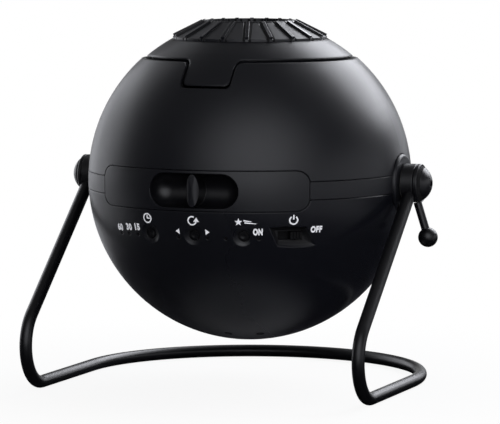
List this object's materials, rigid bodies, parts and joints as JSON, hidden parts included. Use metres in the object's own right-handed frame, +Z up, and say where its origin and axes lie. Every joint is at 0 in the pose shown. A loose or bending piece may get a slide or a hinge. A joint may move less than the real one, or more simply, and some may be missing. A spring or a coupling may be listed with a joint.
{
  "type": "planetarium projector",
  "caption": "Home star projector: a ball with a focusing lens on top, a pull-out disc tray and push buttons, tilting in a bent tube stand with a clamp lever.",
  "frame": {"origin": "on the surface that the stand rests on, straight under the ball's centre", "axes": "+Z up, the tray, buttons and switch face -Y, +X to the right seen from the front, where the clamp lever is"},
  "size_m": [0.1675, 0.1524, 0.1566],
  "materials": {
    "shell_plastic": "satin black moulded plastic",
    "ring_plastic": "finely textured black plastic",
    "button_plastic": "satin black plastic",
    "stand_paint": "gloss black paint on steel",
    "washer_fibre": "matt grey friction fibre",
    "steel": "plain steel",
    "inner_plastic": "matt black moulded plastic",
    "gear_plastic": "natural white acetal",
    "film": "dark glossy film",
    "glass": "clear coated glass",
    "board": "green circuit board",
    "emitter": "clear dome over a yellow phosphor",
    "heat_sink": "plain extruded aluminium",
    "light_pipe": "dark smoked plastic"
  },
  "bodies": {
    "stand": {"stand_tube": "stand_paint", "left_collar": "stand_paint", "right_collar": "stand_paint", "left_friction_washer": "washer_fibre", "right_friction_washer": "washer_fibre", "left_pivot_pin": "steel", "left_pin_clip": "steel", "left_end_cap": "stand_paint"},
    "clamp_lever": {"clamp_cap": "stand_paint", "lever_rod": "stand_paint", "lever_ball": "stand_paint", "clamp_screw": "steel"},
    "ball": {"lower_shell": "shell_plastic", "upper_shell": "shell_plastic", "top_cap": "shell_plastic", "equator_band": "shell_plastic", "clamp_nut": "steel", "lower_deck": "inner_plastic", "upper_deck": "inner_plastic", "deck_screws": "steel", "shell_screws": "steel", "left_tray_rail": "inner_plastic", "right_tray_rail": "inner_plastic", "lens_tube": "inner_plastic", "lamp_housing": "inner_plastic", "condenser_lens": "glass", "lamp_board": "board", "lamp_emitter": "emitter", "heat_sink": "heat_sink", "control_board": "board", "push_switches": "inner_plastic", "indicator_lights": "light_pipe", "slide_switch": "inner_plastic", "power_board": "board", "power_inlet": "inner_plastic", "gear_motor": "steel", "idler_post": "steel"},
    "disc_tray": {"tray_front": "shell_plastic", "tray_plate": "inner_plastic"},
    "star_disc": {"star_disc_gear": "gear_plastic", "star_film": "film", "film_clamp_ring": "inner_plastic"},
    "idler": {"idler_gear": "gear_plastic"},
    "pinion": {"motor_pinion": "gear_plastic", "motor_shaft": "steel"},
    "focus_ring": {"focus_ring": "ring_plastic"},
    "lens_barrel": {"lens_barrel": "inner_plastic", "front_lens": "glass", "rear_lens": "glass", "lens_spacer": "inner_plastic", "lens_lock_ring": "inner_plastic"},
    "timer_button": {"timer_button": "button_plastic"},
    "move_button": {"move_button": "button_plastic"},
    "meteor_button": {"meteor_button": "button_plastic"},
    "power_knob": {"power_knob": "button_plastic"}
  },
  "joints": [
    {"name": "ball_tilt", "type": "hinge", "parent": "stand", "child": "ball", "pos_m": [0, 0, 0.0879], "axis": [1, 0, 0], "range_deg": [-90, 90]},
    {"name": "clamp_turn", "type": "hinge", "parent": "stand", "child": "clamp_lever", "pos_m": [0, 0, 0.0879], "axis": [1, 0, 0], "range_deg": [0, 80]},
    {"name": "tray_slide", "type": "slide", "parent": "ball", "child": "disc_tray", "axis": [0, -1, 0], "range_m": [0, 0.07]},
    {"name": "disc_spin", "type": "hinge", "parent": "disc_tray", "child": "star_disc", "pos_m": [0, 0, 0.0879], "axis": [0, 0, 1], "continuous": true},
    {"name": "idler_spin", "type": "hinge", "parent": "ball", "child": "idler", "pos_m": [0, 0.042, 0.0879], "axis": [0, 0, 1], "continuous": true},
    {"name": "pinion_spin", "type": "hinge", "parent": "ball", "child": "pinion", "pos_m": [0.018, 0.042, 0.0879], "axis": [0, 0, 1], "continuous": true},
    {"name": "focus_turn", "type": "hinge", "parent": "ball", "child": "focus_ring", "pos_m": [0, 0, 0.0879], "axis": [0, 0, 1], "range_deg": [-60, 60]},
    {"name": "lens_focus", "type": "slide", "parent": "ball", "child": "lens_barrel", "axis": [0, 0, 1], "range_m": [-0.0015, 0.0015]},
    {"name": "timer_press", "type": "slide", "parent": "ball", "child": "timer_button", "axis": [0, 1, 0], "range_m": [0, 0.0006], "stiffness_N_per_m": 900, "springref_m": -0.0005},
    {"name": "move_press", "type": "slide", "parent": "ball", "child": "move_button", "axis": [0, 1, 0], "range_m": [0, 0.0006], "stiffness_N_per_m": 900, "springref_m": -0.0005},
    {"name": "meteor_press", "type": "slide", "parent": "ball", "child": "meteor_button", "axis": [0, 1, 0], "range_m": [0, 0.0006], "stiffness_N_per_m": 900, "springref_m": -0.0005},
    {"name": "power_slide", "type": "slide", "parent": "ball", "child": "power_knob", "axis": [-0.8156, -0.5786, 0], "range_m": [0, 0.0048]}
  ],
  "couplings": [
    {"joint": "idler_spin", "follows": "disc_spin", "ratio": -2.5},
    {"joint": "pinion_spin", "follows": "disc_spin", "ratio": 5},
    {"joint": "lens_focus", "follows": "focus_turn", "m_per_rad": 0.00143}
  ]
}
